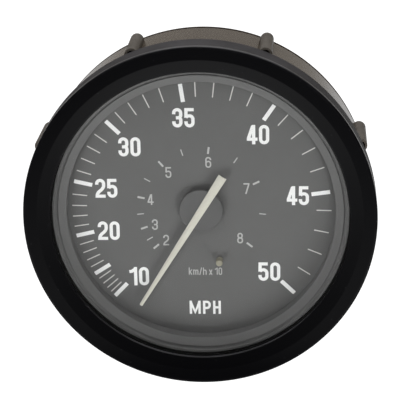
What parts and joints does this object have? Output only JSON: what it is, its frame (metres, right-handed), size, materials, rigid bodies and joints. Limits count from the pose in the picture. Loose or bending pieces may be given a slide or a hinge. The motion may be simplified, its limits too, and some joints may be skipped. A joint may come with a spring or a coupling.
{
  "type": "panel speedometer",
  "caption": "Round panel speedometer with black bezel, grey dial, cream pointer and a pressure-tube movement in a lugged drum case.",
  "frame": {"origin": "on the dial's axis, in the plane where the bezel's rear meets the panel", "axes": "+Z is 12 o'clock on the dial, the dial faces -Y, +Y runs back through the case"},
  "size_m": [0.112, 0.0559, 0.112],
  "materials": {
    "case_plastic": "semi-gloss moulding with a fine grain",
    "bezel_black": "satin black over rolled sheet",
    "lens_glass": "clear flat glass",
    "rubber_black": "matt rubber",
    "mask_grey": "matt grey",
    "dial_grey": "matt grey with printed scale",
    "pointer_cream": "matt cream paint",
    "hub_grey": "matt grey",
    "brass": "turned and stamped brass",
    "bronze": "drawn bronze tube",
    "steel": "ground steel",
    "plated_steel": "zinc plated",
    "lamp_black": "black moulding",
    "bulb_glass": "clear glass"
  },
  "bodies": {
    "case": {"case_shell": "case_plastic", "bezel_ring": "bezel_black", "lens": "lens_glass", "lens_gasket": "rubber_black", "rim_seal": "rubber_black", "inlet_washer": "rubber_black", "mask_ring": "mask_grey", "dial_plate": "dial_grey", "stop_pin": "pointer_cream", "bourdon_tube": "bronze", "lamp_socket": "lamp_black", "lamp_bulb": "bulb_glass", "dial_screws": "plated_steel", "pillar_screws": "plated_steel", "movement_screws": "plated_steel", "socket_screws": "plated_steel", "mounting_studs": "plated_steel", "hairspring": "steel", "dial_posts": "brass", "hairspring_stud": "brass", "front_plate": "brass", "rear_plate": "brass", "plate_pillars": "brass", "arbor_bushes": "brass", "tube_socket": "brass", "hose_barb": "brass", "lamp_terminals": "brass"},
    "pointer": {"pointer_blade": "pointer_cream", "pointer_hub": "hub_grey", "pointer_arbor": "steel", "pinion": "brass", "hairspring_collet": "brass"},
    "sector": {"sector_gear": "brass", "sector_arbor": "steel", "tail_pin": "steel"},
    "link": {"connecting_link": "brass"},
    "tip": {"tube_tip": "brass", "tip_pin": "steel"}
  },
  "joints": [
    {"name": "pointer_spin", "type": "hinge", "parent": "case", "child": "pointer", "pos_m": [0, 0.0105, 0], "axis": [0, 1, 0], "range_deg": [0, 302], "stiffness_Nm_per_rad": 0.0005, "springref_deg": -28.65, "deforming": ["hairspring"]},
    {"name": "sector_swing", "type": "hinge", "parent": "case", "child": "sector", "pos_m": [0.02001, 0.0105, -0.01155], "axis": [0, 1, 0], "range_deg": [-30.2, 0]},
    {"name": "link_swing", "type": "hinge", "parent": "sector", "child": "link", "pos_m": [0.02607, 0.0105, -0.01505], "axis": [0, 1, 0], "range_deg": [0, 30.2]},
    {"name": "tube_tip_lift", "type": "hinge", "parent": "case", "child": "tip", "pos_m": [-0.01247, 0.0105, 0.00975], "axis": [0, 1, 0], "range_deg": [-4.3, 0], "deforming": ["bourdon_tube"]}
  ],
  "couplings": [
    {"joint": "sector_swing", "follows": "pointer_spin", "ratio": -0.1},
    {"joint": "link_swing", "follows": "pointer_spin", "ratio": 0.1},
    {"joint": "tube_tip_lift", "follows": "pointer_spin", "ratio": -0.014238}
  ]
}
